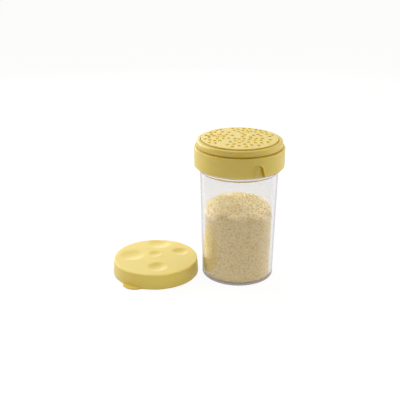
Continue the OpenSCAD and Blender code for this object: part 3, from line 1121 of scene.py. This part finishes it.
def make_crumbs(heap):
    """Loose crumbs lying on the heap, each an uneven ball before it is scaled."""
    bm = bmesh.new()
    bmesh.ops.create_icosphere(bm, subdivisions=1, radius=CRUMB_R * MM)
    for i, vert in enumerate(bm.verts):
        vert.co *= 1 + CRUMB_UNEVENNESS * math.sin(i * CRUMB_PHASE)
    mesh = bpy.data.meshes.new("crumb")
    bm.to_mesh(mesh)
    bm.free()
    crumb = add_object("crumb", mesh)
    crumbs = add_object("cheese_crumbs", heap.data.copy())
    apply_tree(crumbs, crumb_tree(CHEESE), {
        "Crumb": crumb,
        "Density": CRUMB_DENSITY,
        "Lowest": CRUMB_LOWEST_Z * MM,
        "Reach": CRUMB_REACH * MM,
        "Seed": CRUMB_SEED,
    })
    bpy.data.objects.remove(crumb)
    return crumbs


def make_seal():
    """Sealing ring between the jar's mouth and the plate."""
    seal_r = SEAL_HIGH.x
    corners = [
        (seal_r - SEAL_W, SEAL_LOW.z, 0.3),
        (seal_r, SEAL_LOW.z, 0.3),
        (seal_r, SEAL_HIGH.z, 0.3),
        (seal_r - SEAL_W, SEAL_HIGH.z, 0.3),
    ]
    outline = densified(rounded(corners, 4), lambda point: 2.0, closed=True)
    seal = turned("seal", outline, columns(160), SEAL)
    place(seal, "seal", "seal_rubber", "sealing_ring")


make_jar()
make_collar()
make_plate()
make_lid()
make_seal()
heap = make_cheese()
crumbs = make_crumbs(heap)
place(heap, "jar", "grated_cheese", "grated_parmesan")
place(crumbs, "jar", "grated_cheese")


# Floor, world, lamps and camera

def make_floor():
    """Pale floor that keeps the shadows and looks white to the camera."""
    tree = Tree(bpy.data.materials.new("floor"))
    path = tree.node("LightPath")
    direct = tree.value(path, "Is Camera Ray") + tree.value(path, "Is Glossy Ray")
    through = tree.value(path, "Is Transmission Ray")
    seen = FLOOR_GLOW_SHARE * direct + FLOOR_GLOW_THROUGH * through
    share = tree.value(tree.node("Clamp", Value=seen, _1=0.0, _2=FLOOR_GLOW_SHARE))
    paper = tree.node("BsdfDiffuse", Color=FLOOR_GREY)
    glow = tree.node("Emission", Color=WHITE, Strength=FLOOR_GLOW)
    material = surfaced(tree, shader_mix(tree, share, paper, glow))
    half = FLOOR_HALF_W
    corners = [(-half, -half, 0), (half, -half, 0), (half, half, 0), (-half, half, 0)]
    floor = new_object("floor", corners, [(0, 1, 2, 3)], material)


def make_world():
    """White for the camera; as light, brighter behind the object than before it, like a tent."""
    tree = Tree(bpy.data.worlds.new("studio"))
    path = tree.node("LightPath")
    through_glass = tree.value(path, "Is Transmission Ray")
    glossy = tree.value(path, "Is Glossy Ray") * (1 - through_glass)
    direction = tree.node("SeparateXYZ", Vector=tree.value(tree.node("TexCoord"), "Generated"))
    side = tree.value(direction, "X")
    back = tree.value(direction, "Y")
    up = tree.value(direction, "Z")
    tent = remapped(tree, back, *TENT, eased=True)
    inside = remapped(tree, 0.6 * back + up, *INSIDE, eased=True)
    sheen = remapped(tree, 0.6 * back - 0.7 * side, *SHEEN, eased=True)
    strength = (1 - GLOSSY_LOSS * glossy) * tent + through_glass * inside + glossy * sheen
    tint = colour_mix(tree, tent, FRONT_TINT, BACK_TINT)
    light = tree.node("Background", Color=tint, Strength=strength)
    white = tree.node("Background", Color=WHITE, Strength=1.0)
    seen = shader_mix(tree, tree.value(path, "Is Camera Ray"), light, white)
    bpy.context.scene.world = surfaced(tree, seen, "OutputWorld")


def softbox(name, place_m, target_m, size_m, watts, colour=(1, 1, 1)):
    """A square area lamp aimed at a point."""
    data = bpy.data.lights.new(name, "AREA")
    data.shape = "SQUARE"
    data.size = size_m
    data.energy = watts
    data.color = colour
    lamp = add_object(name, data)
    lamp.location = place_m
    aim = Vector(target_m) - Vector(place_m)
    lamp.rotation_euler = aim.to_track_quat("-Z", "Y").to_euler()
    return lamp


def make_lamps():
    """Weak lamps that round off the tent's light; the lid has a small one of its own."""
    middle = (-0.02, 0, 0.06)
    softbox("left_softbox", (-0.45, 0.23, 0.24), middle, 0.3, 1.1, (1.0, 0.95, 0.88))
    softbox("right_softbox", (0.6, 0.1, 0.22), middle, 0.4, 1.2, (1.0, 0.93, 0.84))
    softbox("front_softbox", (-0.35, -0.55, 0.12), (-0.074, 0, 0), 0.4, 0.15)
    lid_lamp = softbox("lid_softbox", (0.04, -0.4, 0.05), (-0.078, -0.02, 0.002), 0.05, 0.012)
    lid_lamp.data.spread = math.radians(40)
    softbox("top_softbox", (0, -0.1, 0.95), middle, 0.6, 1.6, (0.92, 1.02, 1.14))
    back_lamp = softbox("back_softbox", (-0.1, 0.75, 0.42), middle, 0.6, 1.3)
    back_lamp.visible_glossy = False


def make_camera():
    """The photograph's view: a little left of the jar's axis, looking down on it."""
    picture_px = 400
    focal_px = 740
    pitch = math.radians(21.35)
    data = bpy.data.cameras.new("camera")
    data.sensor_fit = "HORIZONTAL"
    data.sensor_width = 36
    data.lens = focal_px / picture_px * data.sensor_width
    camera = add_object("camera", data)
    camera.location = (-0.0339, -0.6065, 0.3055)
    camera.rotation_euler = (math.pi / 2 - pitch, 0, 0)
    bpy.context.scene.camera = camera


make_floor()
make_world()
make_lamps()
make_camera()
bpy.context.scene.view_settings.view_transform = "Standard"
